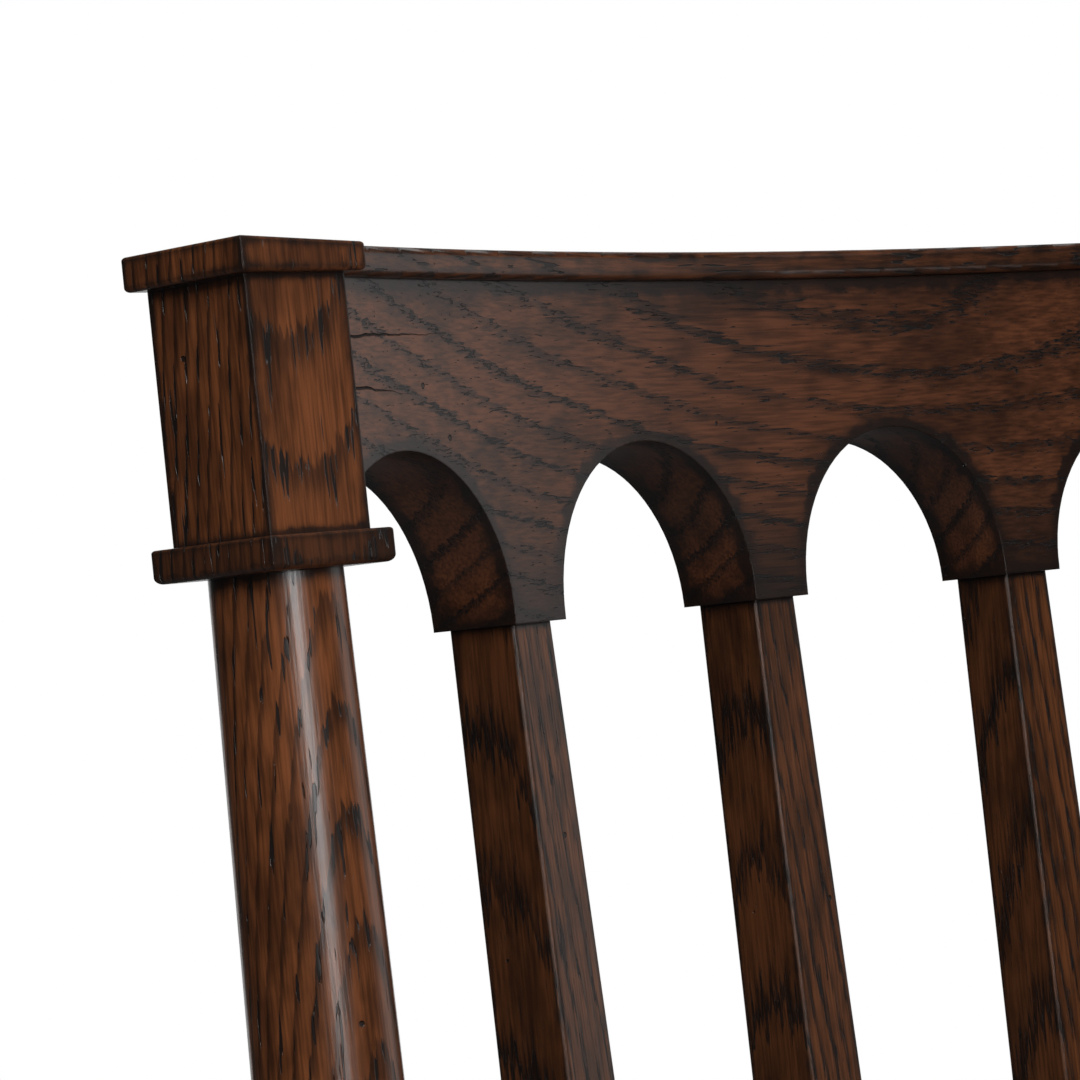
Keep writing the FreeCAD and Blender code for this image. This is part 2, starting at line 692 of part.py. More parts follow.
# Corner blocks: four glued braces across the corners of the seat frame
def side_face(y):
    """Inner face of the right seat rail, at a distance along the chair."""
    axis = d.post_spacing / 2 - SIDE_SPLAY * y
    return axis - d.seat_rail_thickness / 2 * math.hypot(1, SIDE_SPLAY)


def corner_points(end):
    """Plan of a right-hand corner block: two corners on the cross rail, then two on the side rail."""
    if end == "front":
        post_x, post_y, half, inward = d.front_spacing / 2, -d.seat_depth, d.front_block_side / 2, 1
    else:
        post_x, post_y, half, inward = d.post_spacing / 2, 0, d.plinth_side / 2, -1
    rail_y = post_y + inward * d.seat_rail_thickness / 2
    near_x = post_x - half - d.corner_gap
    near_y = post_y + inward * (half + d.corner_gap)
    far_y = near_y + inward * d.corner_leg
    on_cross = [(near_x, rail_y), (near_x - d.corner_leg, rail_y)]
    on_side = [(side_face(far_y), far_y), (side_face(near_y), near_y)]
    return on_cross + on_side


def screw(name, place, length, grow=0):
    """A screw pointing up the Z axis of its place, its head at the origin; grown, it is the stepped hole."""
    spread = " + 2 * joint_clearance" if grow else ""
    shank = cylinder(name + "_shank", place, "screw_dia" + spread, length)
    depth = "corner_leg" if grow else "screw_head_height"
    head = cylinder(name + "_head", place, "screw_head_dia" + spread, depth)
    head.Placement = place * Placement(Vector(0, 0, -head.Height.Value), PLUMB)
    return fuse(name, [shank, head])


corner_screws, seat_screws = [], []
corner_holes, seat_holes, rail_holes = {}, [], {}
for end, inward in (("front", 1), ("back", -1)):
    for side, sign in SIDES.items():
        name = "corner_block_%s_%s" % (end, side)
        points = [(sign * x, y) for x, y in corner_points(end)]
        body = doc.addObject("PartDesign::Body", name + "_body")
        brace = pad(body, outline(body, "XY_Plane", points), "corner_height")
        body.Tip = brace
        doc.recompute([body])
        body.Placement = Placement(Vector(0, 0, SEAT_FOOT - d.corner_height), PLUMB)
        middle_height = SEAT_FOOT - d.corner_height / 2
        near, far, side_far, side_near = [Vector(x, y, middle_height) for x, y in points]
        cross = (near + far) * 0.5 + Vector(0, inward * d.screw_cover, 0)
        into_side = (side_far - side_near).cross(UP * inward * sign).normalize()
        flank = (side_near + side_far) * 0.5 - into_side * d.screw_cover
        centre = (near + far + side_far + side_near) * 0.25
        below = Vector(centre.x, centre.y, SEAT_FOOT - d.screw_cover)
        ways = (
            (cross, Vector(0, -inward, 0), "screw_cover + screw_bite", end + "_seat_rail"),
            (flank, into_side, "screw_cover + screw_bite", side + "_seat_rail"),
            (below, UP, "screw_cover + screw_bite", None),
        )
        holes = []
        for number, (start, way, length, rail) in enumerate(ways):
            place = Placement(start, Rotation(UP, way))
            fastener = screw("%s_screw_%d" % (name, number), place, length)
            hole = screw("%s_hole_%d" % (name, number), place, length, grow=1)
            holes.append(hole)
            if rail:
                corner_screws.append(fastener)
                rail_holes.setdefault(rail, []).append(hole)
            else:
                seat_screws.append(fastener)
                seat_holes.append(hole)
        post = front_blanks[side] if end == "front" else rear_blanks[side]
        finished[name] = cut(name, body, holes + [post])

for name, whole in frame_bars.items():
    finished[name] = cut(name, whole, rail_holes[name]) if name in rail_holes else whole

# Seat boards: three boards across the chair, edges moulded, corners notched round the posts
FRONT_EDGE = -d.seat_depth - d.front_block_side / 2 - d.seat_lip
BACK_EDGE = d.seat_rail_thickness / 2 + d.seat_lip
side_lip = "(seat_rail_thickness / 2 + seat_side_lip)"
splay = "(front_spacing - post_spacing) / 2 / seat_depth"
seat_front = "front_spacing / 2 + %s + %s * (front_block_side / 2 + seat_lip)" % (side_lip, splay)
seat_back = "post_spacing / 2 + %s - %s * (seat_rail_thickness / 2 + seat_lip)" % (side_lip, splay)
panel = tie(
    doc.addObject("Part::Wedge", "seat_panel"), Xmin="-(%s)" % seat_front, Xmax=seat_front,
    X2min="-(%s)" % seat_back, X2max=seat_back, Ymin="-seat_depth - front_block_side / 2 - seat_lip",
    Ymax="seat_rail_thickness / 2 + seat_lip", Zmin="seat_height - seat_thickness", Zmax="seat_height",
    Z2min="seat_height - seat_thickness", Z2max="seat_height",
)


def seat_edge(height):
    """A test for the front and side edges of the seat at one height."""
    def test(edge):
        return lies_at(height)(edge) and edge.CenterOfMass.y < BACK_EDGE - d.seat_lip
    return test


panel = rounded("seat_moulded", panel, d.seat_top_round, seat_edge(d.seat_height))
panel = rounded("seat_softened", panel, d.seat_foot_round, seat_edge(SEAT_FOOT))


def seat_notch(side, point, half, inward):
    """An open notch at one corner of the seat, a clearance wide of the post and clear through both edges."""
    reach = half + d.joint_clearance
    wide = d.oversize * half
    x = SIDES[side] * (point.x * SIDES[side] - reach + wide / 2)
    y = point.y + inward * (reach - wide / 2)
    notch = tie(doc.addObject("Part::Box", "seat_notch"), Height="oversize * seat_thickness")
    notch.Length = wide
    notch.Width = wide
    notch.Placement = Placement(Vector(x - wide / 2, y - wide / 2, SEAT_FOOT - d.seat_thickness), PLUMB)
    return notch


notches = [seat_notch(side, front_axis(side, 0), d.front_block_side / 2, 1) for side in SIDES]
notches += [seat_notch(side, on_axis(side, d.seat_height), d.plinth_side / 2, -1) for side in SIDES]
panel = cut("seat_notched", panel, notches + seat_holes)
whole_depth = "seat_depth + front_block_side / 2 + seat_rail_thickness / 2 + 2 * seat_lip"
board_depth = (BACK_EDGE - FRONT_EDGE) / len(SEAT_BOARDS)
for number, where in enumerate(SEAT_BOARDS):
    middle = Vector(0, FRONT_EDGE + (number + 0.5) * board_depth, SEAT_FOOT)
    slice_of_seat = box("seat_slice_" + where, Placement(middle, PLUMB), "oversize * front_spacing",
                        "(%s) / %d" % (whole_depth, len(SEAT_BOARDS)), "oversize * seat_thickness")
    finished["seat_board_" + where] = common("seat_board_" + where, panel, slice_of_seat)

finished["corner_block_screws"] = doc.addObject("Part::Compound", "corner_block_screws")
finished["corner_block_screws"].Links = corner_screws
finished["seat_screws"] = doc.addObject("Part::Compound", "seat_screws")
finished["seat_screws"].Links = seat_screws

# Foot glides: a round glide nailed under each foot, the only pieces that touch the floor
glides = []
for end, foot in (("front", front_axis), ("rear", on_axis)):
    for side in SIDES:
        place = Placement(Vector(foot(side, d.glide_height).x, foot(side, d.glide_height).y, 0), PLUMB)
        disc = cylinder("glide_disc", place, "glide_dia", "glide_height")
        eased_disc = rounded("glide_eased", disc, d.glide_round, lies_at(0))
        nail = cylinder("glide_nail", place, "nail_dia", "glide_height + nail_length")
        glides.append(fuse("glide", [eased_disc, nail]))
        hole = cylinder("glide_hole", place, "nail_dia + 2 * joint_clearance",
                        "glide_height + nail_length + joint_clearance")
        take_tenon("%s_post_%s" % (end, side), hole)
finished["foot_glides"] = doc.addObject("Part::Compound", "foot_glides")
finished["foot_glides"].Links = glides

# The posts get their mortises once every tenon is known
for side in SIDES:
    for end, blanks in (("front", front_blanks), ("rear", rear_blanks)):
        name = "%s_post_%s" % (end, side)
        finished[name] = cut(name, blanks[side], mortises[name])
doc.recompute()

# The whole chair is moved so that its box stands centred on the origin
boxes = [piece.Shape.optimalBoundingBox() for piece in finished.values()]
shift = -(min(part.YMin for part in boxes) + max(part.YMax for part in boxes)) / 2
for name, piece in finished.items():
    piece.Label = name
    piece.Placement = Placement(Vector(0, shift, 0), PLUMB)
doc.recompute()

for piece in doc.Objects:
    if "Invalid" in piece.State or "Error" in piece.State:
        raise RuntimeError("%s is not built" % piece.Label)
for name, piece in finished.items():
    if piece.Shape.isNull() or not piece.Shape.isValid():
        raise RuntimeError("%s has no valid shape" % name)
    piece.Shape.exportStep(os.path.join("parts", name + ".step"))
print("centred by %.3f mm" % shift)
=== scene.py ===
import math

import bpy
from mathutils import Euler, Matrix, Vector


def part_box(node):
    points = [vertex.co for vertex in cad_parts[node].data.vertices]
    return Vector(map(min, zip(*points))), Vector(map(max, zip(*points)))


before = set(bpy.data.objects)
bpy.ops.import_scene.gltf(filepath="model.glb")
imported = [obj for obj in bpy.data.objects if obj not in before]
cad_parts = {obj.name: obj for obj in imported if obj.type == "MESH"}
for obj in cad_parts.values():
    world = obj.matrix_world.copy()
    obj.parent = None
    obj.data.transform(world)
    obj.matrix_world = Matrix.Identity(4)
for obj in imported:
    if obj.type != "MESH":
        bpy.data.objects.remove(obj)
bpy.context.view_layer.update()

# Rear posts: one length of oak each, squared and capped at the head, turned to a column below it.
# The oak is stained dark, its open pores filled black, and every edge is rubbed back and glazed darker.
# The growth rings lie nearly square to the sides of the block, so its front shows broad ragged bands.


class Finish:
    """The node tree of a finish, with short calls for the nodes that it uses."""

    def __init__(self, tree):
        self.tree = tree

    def add(self, kind, inputs=(), **settings):
        node = self.tree.nodes.new(kind if kind.startswith("NodeGroup") else "ShaderNode" + kind)
        for name, value in settings.items():
            setattr(node, name, value)
        for socket, value in dict(inputs).items():
            if isinstance(value, bpy.types.NodeSocket):
                self.tree.links.new(value, node.inputs[socket])
            else:
                node.inputs[socket].default_value = value
        return node

    def math(self, operation, *values):
        return self.add("Math", enumerate(values), operation=operation).outputs[0]

    def vector(self, operation, *values):
        return self.add("VectorMath", enumerate(values), operation=operation).outputs["Vector"]

    def scaled(self, vector, factor):
        return self.add("VectorMath", {0: vector, 3: factor}, operation="SCALE").outputs["Vector"]

    def measure(self, operation, *vectors):
        return self.add("VectorMath", enumerate(vectors), operation=operation).outputs["Value"]

    def part(self, vector, axis):
        return self.add("SeparateXYZ", {0: vector}).outputs[axis]

    def facing(self, way):
        """How far the surface faces a way, from -1 to 1."""
        return self.measure("DOT_PRODUCT", self.add("NewGeometry").outputs["Normal"], way)

    def noise(self, place, lump, detail, output="Fac"):
        """Noise whose lumps have the given size along X, Y and Z."""
        settings = {"Vector": self.vector("DIVIDE", place, lump), "Scale": 1.0, "Detail": detail}
        return self.add("TexNoise", settings).outputs[output]

    def ease(self, value, low, high, to_low=0.0, to_high=1.0):
        """A smooth step from one level to another."""
        ends = {0: value, 1: low, 2: high, 3: to_low, 4: to_high}
        return self.add("MapRange", ends, interpolation_type="SMOOTHSTEP").outputs[0]

    def ramp(self, value, stops):
        node = self.add("ValToRGB", {0: value})
        marks = node.color_ramp.elements
        while len(marks) < len(stops):
            marks.new(1.0)
        for mark, (place, level) in zip(marks, stops):
            mark.position = place
            mark.color = (level, level, level, 1.0)
        return node.outputs[0]

    def blend(self, share, first, second, mode="MIX"):
        ends = {0: share, 6: first, 7: second}
        return self.add("Mix", ends, data_type="RGBA", blend_type=mode).outputs[2]

    def group(self, tree, **inputs):
        return self.add("Group", inputs, node_tree=tree).outputs

    def put(self, sockets, **values):
        for name, value in values.items():
            self.tree.links.new(value, sockets[name])


def effect(name, inputs, outputs):
    """An empty node group for an effect that several finishes share."""
    tree = bpy.data.node_groups.new(name, "ShaderNodeTree")
    for way, sockets in (("INPUT", inputs), ("OUTPUT", outputs)):
        for label, kind in sockets.items():
            tree.interface.new_socket(name=label, in_out=way, socket_type="NodeSocket" + kind)
    finish = Finish(tree)
    return finish, finish.add("NodeGroupInput").outputs, finish.add("NodeGroupOutput").inputs


# Oak grain, in millimetres with the fibres along Z: growth rings round a pith, which wander, lean and fray,
# and in the early wood of each ring a crowd of open pores
X, Y, Z = range(3)
RING_PROFILE = [(0, 0), (0.05, 1), (0.2, 0.85), (0.36, 0.12), (0.6, 0), (1, 0)]
WEAKEST_RING = 0.7
DRIFT_LUMP = (60, 60, 190)
FRAY_LUMP = (1.3, 1.3, 22)
STREAK_LUMP = (1.0, 1.0, 24)
BROAD_CLOUD = (30, 30, 60)
SMALL_CLOUD = (7, 7, 15)
BROAD_SHARE = 0.55
SMALL_SHARE = 0.45
PORES_FROM = 0.73
EARLY_PORES_FROM = 0.5
PORE_BRINK = 0.035
g, given, shown = effect(
    "oak_grain",
    {"Place": "Vector", "Pith": "Vector", "Lean": "Vector", "Ring": "Float",
     "Wander": "Float", "Ragged": "Float", "Pore": "Vector", "Seed": "Vector"},
    {"Early": "Float", "Pores": "Float", "Streak": "Float", "Cloud": "Float"},
)
spot = g.vector("ADD", given["Place"], given["Seed"])
drift = g.vector("SUBTRACT", g.noise(spot, DRIFT_LUMP, detail=1, output="Color"), (0.5, 0.5, 0.5))
radial = g.vector("SUBTRACT", given["Place"], given["Pith"])
radial = g.vector("ADD", radial, g.scaled(drift, given["Wander"]))
radial = g.vector("ADD", radial, g.scaled(given["Lean"], g.part(given["Place"], Z)))
radius = g.measure("LENGTH", g.vector("MULTIPLY", radial, (1, 1, 0)))
fray = g.math("SUBTRACT", g.noise(spot, FRAY_LUMP, detail=2), 0.5)
age = g.math("MULTIPLY_ADD", fray, given["Ragged"], g.math("DIVIDE", radius, given["Ring"]))
year = g.add("TexWhiteNoise", {"W": g.math("FLOOR", age)}, noise_dimensions="1D").outputs[0]
vigour = g.ease(year, 0, 1, WEAKEST_RING, 1)
early = g.math("MULTIPLY", g.ramp(g.math("FRACT", age), RING_PROFILE), vigour)
brink = g.math("MULTIPLY_ADD", early, EARLY_PORES_FROM - PORES_FROM, PORES_FROM)
dash = g.noise(spot, given["Pore"], detail=1)
cloud = g.math("MULTIPLY", g.noise(spot, BROAD_CLOUD, detail=2), BROAD_SHARE)
cloud = g.math("MULTIPLY_ADD", g.noise(spot, SMALL_CLOUD, detail=2), SMALL_SHARE, cloud)
g.put(
    shown, Early=early, Pores=g.ease(dash, brink, g.math("ADD", brink, PORE_BRINK)),
    Streak=g.noise(spot, STREAK_LUMP, detail=4), Cloud=cloud,
)
oak_grain = g.tree

# Rubbed edges: a dark glaze of uneven width towards every edge, and painted shade into every inside corner
GLAZE_AND_SHADE_LUMP = (6, 6, 9)
WIDE_GLAZE_AND_SHADE = 0.012
NARROW_GLAZE_AND_SHADE = 0.12
g, given, shown = effect("edge_glaze_and_corner_shade", {"Place": "Vector", "Reach": "Float"}, {"Glaze": "Float"})
rounded = g.add("Bevel", {"Radius": given["Reach"]}, samples=8).outputs[0]
bend = g.math("SUBTRACT", 1.0, g.facing(rounded))
uneven = g.noise(given["Place"], GLAZE_AND_SHADE_LUMP, detail=4)
g.put(shown, Glaze=g.ease(bend, 0.0, g.ease(uneven, 0.35, 0.65, WIDE_GLAZE_AND_SHADE, NARROW_GLAZE_AND_SHADE)))
edge_glaze_and_corner_shade = g.tree

# Worm holes: a few round pits at points scattered through the wood, and single ones at a given point
HOLE_SPACING = 26
HOLE_RIM = 0.936
HOLE_FLOOR = 0.624
g, given, shown = effect("worm_holes", {"Place": "Vector"}, {"Pit": "Float"})
scattered = g.vector("DIVIDE", given["Place"], (HOLE_SPACING, HOLE_SPACING, HOLE_SPACING))
nearest = g.add("TexVoronoi", {"Vector": scattered, "Scale": 1.0}).outputs["Distance"]
g.put(shown, Pit=g.ease(nearest, HOLE_RIM / HOLE_SPACING, HOLE_FLOOR / HOLE_SPACING))
worm_holes = g.tree

SINGLE_RIM = 1.05
SINGLE_FLOOR = 0.65
g, given, shown = effect("worm_hole", {"Place": "Vector", "Centre": "Vector"}, {"Pit": "Float"})
nearest = g.measure("DISTANCE", given["Place"], given["Centre"])
g.put(shown, Pit=g.ease(nearest, SINGLE_RIM, SINGLE_FLOOR))
worm_hole = g.tree

LATE_WOOD = (0.155, 0.0495, 0.0165)
EARLY_WOOD = (0.038, 0.0145, 0.007)
PORE_BLACK = (0.006, 0.0045, 0.004, 1)
GLAZE_AND_SHADE_BLACK = (0.007, 0.0052, 0.0046, 1)
STREAK_SHADES = (0.6, 1.28)
CLOUD_SHADES = (0.5, 1.12)
PORE_STAIN = 0.92
GLAZE_AND_SHADE_STAIN = 0.9
STREAK_RELIEF = 0.1
PORE_RELIEF = -1.0
PIT_RELIEF = -2.0
PORE_DULLNESS = 0.1
BUMP = {"Strength": 0.9, "Distance": 0.0009}
WAX = {"Coat Weight": 0.15, "Coat Roughness": 0.2}
PER_METRE = 1000
MILLIMETRES = (PER_METRE, PER_METRE, PER_METRE)
SEED_STEP = Vector((37, 51, 913))


def stained_oak(
    node, turn, pith, lean, ring, wander=8, ragged=0.5, pore=(1.5, 1.5, 24), seed=0, reach=0.007,
    late=LATE_WOOD, early=EARLY_WOOD, gloss=0.3, arris=0.0008, holes=(), marks=None, darkening=None,
):
    """The oak of one piece, turned so that its fibres run along Z. The grain is in millimetres."""
    material = bpy.data.materials.new(node + "_oak")
    material.use_nodes = True
    material.node_tree.nodes.clear()
    g = Finish(material.node_tree)
    turn = Euler(turn)
    low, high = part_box(node)
    middle = turn.to_matrix() @ ((low + high) / 2) * PER_METRE
    place = g.add("Mapping", {
        "Vector": g.add("TexCoord").outputs["Object"], "Location": -middle, "Rotation": turn,
        "Scale": MILLIMETRES,
    }).outputs[0]
    grain = g.group(
        oak_grain, Place=place, Pith=(*pith, 0), Lean=(*lean, 0), Ring=ring, Wander=wander,
        Ragged=ragged, Pore=pore, Seed=seed * SEED_STEP,
    )
    edge = g.group(edge_glaze_and_corner_shade, Place=place, Reach=reach)
    pits = g.group(worm_holes, Place=place)["Pit"]
    for centre in holes:
        pits = g.math("MAXIMUM", pits, g.group(worm_hole, Place=place, Centre=centre)["Pit"])
    if marks:
        pits = g.math("MAXIMUM", pits, marks(g, place))
    pores = g.math("MAXIMUM", grain["Pores"], pits)
    colour = g.blend(grain["Early"], (*late, 1), (*early, 1))
    streaked = g.ease(grain["Streak"], 0.3, 0.68, *STREAK_SHADES)
    shade = g.math("MULTIPLY", streaked, g.ease(grain["Cloud"], 0.34, 0.6, *CLOUD_SHADES))
    shade = g.add("CombineXYZ", {X: shade, Y: shade, Z: shade}).outputs[0]
    colour = g.blend(1.0, colour, shade, "MULTIPLY")
    colour = g.blend(g.math("MULTIPLY", pores, PORE_STAIN), colour, PORE_BLACK)
    # Near-black over the edge glaze and the painted shade of inside corners, and over any darkening passed
    # in
    glaze_and_shade = g.math("MULTIPLY", edge["Glaze"], GLAZE_AND_SHADE_STAIN)
    if darkening:
        glaze_and_shade = g.math("MAXIMUM", glaze_and_shade, darkening(g, place))
    colour = g.blend(glaze_and_shade, colour, GLAZE_AND_SHADE_BLACK)
    height = g.math("MULTIPLY", grain["Streak"], STREAK_RELIEF)
    height = g.math("MULTIPLY_ADD", pores, PORE_RELIEF, height)
    height = g.math("MULTIPLY_ADD", pits, PIT_RELIEF, height)
    eased = g.add("Bevel", {"Radius": arris}, samples=4).outputs[0]
    bump = g.add("Bump", {"Height": height, "Normal": eased, **BUMP}).outputs[0]
    rough = g.math("MULTIPLY_ADD", pores, PORE_DULLNESS, gloss)
    surface = g.add("BsdfPrincipled", {"Base Color": colour, "Roughness": rough, "Normal": bump, **WAX})
    g.tree.links.new(surface.outputs[0], g.add("OutputMaterial").inputs[0])
    return material


def dress(node, material):
    """Give a piece of the chair its finish."""
    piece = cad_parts[node]
    piece.data.materials.clear()
    piece.data.materials.append(material)


COLLAR_DARKENING = 0.62


def darker_collar(g, place):
    """The collar below the block made darker, in millimetres up from the middle of the post."""
    up = g.part(place, Z)
    return g.math("MULTIPLY", g.ease(up, 386, 391, 0, COLLAR_DARKENING), g.ease(up, 404, 401))


BACK_RAKE = math.radians(8.157)
QUARTER = math.pi / 2
UP_THE_BACK = (BACK_RAKE, 0, 0)
POST_HOLES = [(-20.65, -22.76, 457.15), (-5.04, -52.69, 258.48)]
for seed, side in enumerate(("left", "right"), 3):
    node = "rear_post_" + side
    dress(node, stained_oak(
        node, UP_THE_BACK, pith=(5, 93.9), lean=(0.02, 0.115), ring=4.4, seed=seed, reach=0.0055,
        holes=POST_HOLES, darkening=darker_collar,
    ))

# Crest rail: sawn from one thick board of oak to a curve in plan, with four half-round arches cut in its
# lower edge and a tenon at each end. The saw ran out across the rings, which cross the face as slanting
# bands of short pores. The glaze is heaviest round the arches, and two checks run in from the left end.
WOBBLE_LUMP = (40, 40, 9)
WOBBLE = 3.0
CHECK_TIP = 0.02
CHECK_MOUTH = 0.55
CHECK_DEPTH = 1.4
g, given, shown = effect(
    "end_check",
    {"Place": "Vector", "Across": "Float", "Along": "Float", "Slope": "Float", "Length": "Float"},
    {"Check": "Float"},
)
run = g.math("SUBTRACT", g.part(given["Place"], Z), given["Along"])
wobble = g.math("MULTIPLY_ADD", g.noise(given["Place"], WOBBLE_LUMP, detail=2), WOBBLE, -WOBBLE / 2)
line = g.math("ADD", g.math("MULTIPLY_ADD", run, given["Slope"], given["Across"]), wobble)
off = g.math("ABSOLUTE", g.math("SUBTRACT", g.part(given["Place"], X), line))
half = g.ease(run, given["Length"], 0, CHECK_TIP, CHECK_MOUTH)
depth = g.ease(run, given["Length"], 0, 0, CHECK_DEPTH)
g.put(shown, Check=g.math("MULTIPLY", g.ease(off, half, 0.0), depth))
end_check = g.tree

RAIL_END = -222


def rail_checks(g, place):
    """Two checks at the left end of the crest rail."""
    upper = g.group(end_check, Place=place, Across=-36.0, Along=RAIL_END, Slope=-0.03, Length=58)
    lower = g.group(end_check, Place=place, Across=-20.5, Along=RAIL_END, Slope=0.08, Length=30)
    return g.math("MAXIMUM", upper["Check"], lower["Check"])


PENDANT_DARKENING = 0.72


def darker_pendants(g, place):
    """The front of the rail made darker towards the pendants."""
    front = g.ease(g.facing((0, -1, 0)), 0.6, 0.9)
    return g.math("MULTIPLY", g.ease(g.part(place, X), 8, 48, 0, PENDANT_DARKENING), front)


ALONG_THE_BACK = (BACK_RAKE, -QUARTER, 0)
RAIL_HOLES = [(-20.9, -22.06, -185.51), (-4.59, -19.79, -173.41)]
RAIL_LATE_WOOD = (0.112, 0.0375, 0.0155)
RAIL_EARLY_WOOD = (0.034, 0.0145, 0.0085)
dress("crest_rail", stained_oak(
    "crest_rail", ALONG_THE_BACK, pith=(-85, 70), lean=(-0.17, 0), ring=9, wander=12, ragged=0.6,
    pore=(0.7, 0.7, 8), seed=1, reach=0.014, late=RAIL_LATE_WOOD, early=RAIL_EARLY_WOOD, gloss=0.31,
    holes=RAIL_HOLES, marks=rail_checks, darkening=darker_pendants,
))

# Crest moulding: a rounded strip of oak laid along the top of the crest rail and glued, butting against
# the caps of the posts at both ends.
MOULDING_LATE_WOOD = (0.12, 0.04, 0.0155)
dress("crest_moulding", stained_oak(
    "crest_moulding", ALONG_THE_BACK, pith=(20, -70), lean=(0.05, 0.03), ring=5.5, seed=2,
    late=MOULDING_LATE_WOOD,
))

# Spindles: three tapered rectangular sticks of oak, one under each pendant of the crest rail, tenoned at
# both ends. Their rings face the sides, which show large ragged patches, while the fronts show fine lines.
# How much painted shade darkens the sides of the spindles
SPINDLE_SIDE_SHADE = 0.17


def painted_side_shade(g, place):
    """Painted shade: the sides of a spindle made darker than its front."""
    return g.ease(g.math("ABSOLUTE", g.facing((1, 0, 0))), 0.6, 0.9, 0, SPINDLE_SIDE_SHADE)


SPINDLE_HOLES = {"left": [(3.2, -8.63, 95.46)], "centre": [], "right": []}
SPINDLE_LATE_WOOD = (0.122, 0.0405, 0.013)
SPINDLE_EARLY_WOOD = (0.022, 0.009, 0.005)
for seed, (where, holes) in enumerate(SPINDLE_HOLES.items(), 5):
    node = "spindle_" + where
    dress(node, stained_oak(
        node, UP_THE_BACK, pith=(-90, 0), lean=(0.1, 0.0), ring=6.0, ragged=1.0, pore=(0.55, 0.55, 9),
        seed=seed, reach=0.0045, late=SPINDLE_LATE_WOOD, early=SPINDLE_EARLY_WOOD, arris=0.0016,
        holes=holes, darkening=painted_side_shade,
    ))

# Lower back rail: a curved oak bar with rounded edges, tenoned between the plinths of the rear posts, which
# takes the feet of the spindles.
dress("lower_back_rail", stained_oak(
    "lower_back_rail", ALONG_THE_BACK, pith=(30, -90), lean=(0.02, 0.03), ring=6.0, seed=4,
))

# Front posts: leg, seat block and arm support turned and squared from one length of oak, with a collar at
# each change from square to round.
PLUMB = (0, 0, 0)
for seed, side in enumerate(("left", "right"), 11):
    node = "front_post_" + side
    dress(node, stained_oak(
        node, PLUMB, pith=(60, -60), lean=(0.05, 0.03), ring=5.0, seed=seed,
    ))

# Seat rails and stretchers: straight oak bars tenoned between the four posts, the stretchers with their
# upper edges rounded.
FROM_SIDE_TO_SIDE = (0, -QUARTER, 0)
FROM_FRONT_TO_BACK = (QUARTER, 0, 0)
BAR_TURNS = {
    "front": FROM_SIDE_TO_SIDE,
    "back": FROM_SIDE_TO_SIDE,
    "left": FROM_FRONT_TO_BACK,
    "right": FROM_FRONT_TO_BACK,
}
for first_seed, kind in ((14, "seat_rail"), (16, "stretcher")):
    for number, (where, turn) in enumerate(BAR_TURNS.items()):
        node = where + "_" + kind
        seed = first_seed + number / 5
        dress(node, stained_oak(
            node, turn, pith=(40, 70), lean=(0.03, 0.03), ring=5.5, seed=seed,
        ))

# Corner blocks: four plain braces of unstained oak, glued across the corners of the seat frame and screwed
# to its rails.
BARE_LATE_WOOD = (0.42, 0.27, 0.15)
BARE_EARLY_WOOD = (0.26, 0.16, 0.085)
for seed, corner in enumerate(("front_left", "front_right", "back_left", "back_right"), 18):
    node = "corner_block_" + corner
    dress(node, stained_oak(
        node, FROM_SIDE_TO_SIDE, pith=(30, 60), lean=(0.05, 0.05), ring=4.0, seed=seed, reach=0.001,
        late=BARE_LATE_WOOD, early=BARE_EARLY_WOOD, gloss=0.5,
    ))

# Screws: plain steel wood screws, eight through the corner blocks into the seat rails and four up into the
# seat boards. Their steel is dull, with the fine scratches of rolling.
SCRATCH_LUMP = (0.3, 0.3, 3)
DARK_STEEL = (0.32, 0.31, 0.3, 1)
BRIGHT_STEEL = (0.55, 0.54, 0.52, 1)
STEEL_ROUGHNESS = (0.28, 0.5)
steel = bpy.data.materials.new("dull_steel")
steel.use_nodes = True
g = Finish(steel.node_tree)
metal = steel.node_tree.nodes["Principled BSDF"]
place = g.vector("MULTIPLY", g.add("TexCoord").outputs["Object"], MILLIMETRES)
scratch = g.noise(place, SCRATCH_LUMP, detail=3)
g.put(metal.inputs, **{
    "Base Color": g.blend(scratch, DARK_STEEL, BRIGHT_STEEL),
    "Roughness": g.ease(scratch, 0.3, 0.7, *STEEL_ROUGHNESS),
})
metal.inputs["Metallic"].default_value = 1.0
for node in ("corner_block_screws", "seat_screws"):
    dress(node, steel)

# Seat boards: three wide boards of oak laid side to side, their outer edges moulded. They are notched round
# the posts and screwed down from the corner blocks.
for seed, where in enumerate(("front", "middle", "back"), 23):
    node = "seat_board_" + where
    dress(node, stained_oak(
        node, FROM_SIDE_TO_SIDE, pith=(70, 30), lean=(0.04, 0.02), ring=6.0, seed=seed,
    ))

# Arms: shaped from thick oak, hollowed above and below and rolled over at the front, coped to the rear
# columns with a round tenon and bored for the front posts.
for seed, side in enumerate(("left", "right"), 27):
    node = "arm_" + side
    dress(node, stained_oak(
        node, FROM_FRONT_TO_BACK, pith=(10, 80), lean=(0.02, 0.05), ring=5.5, seed=seed,
    ))

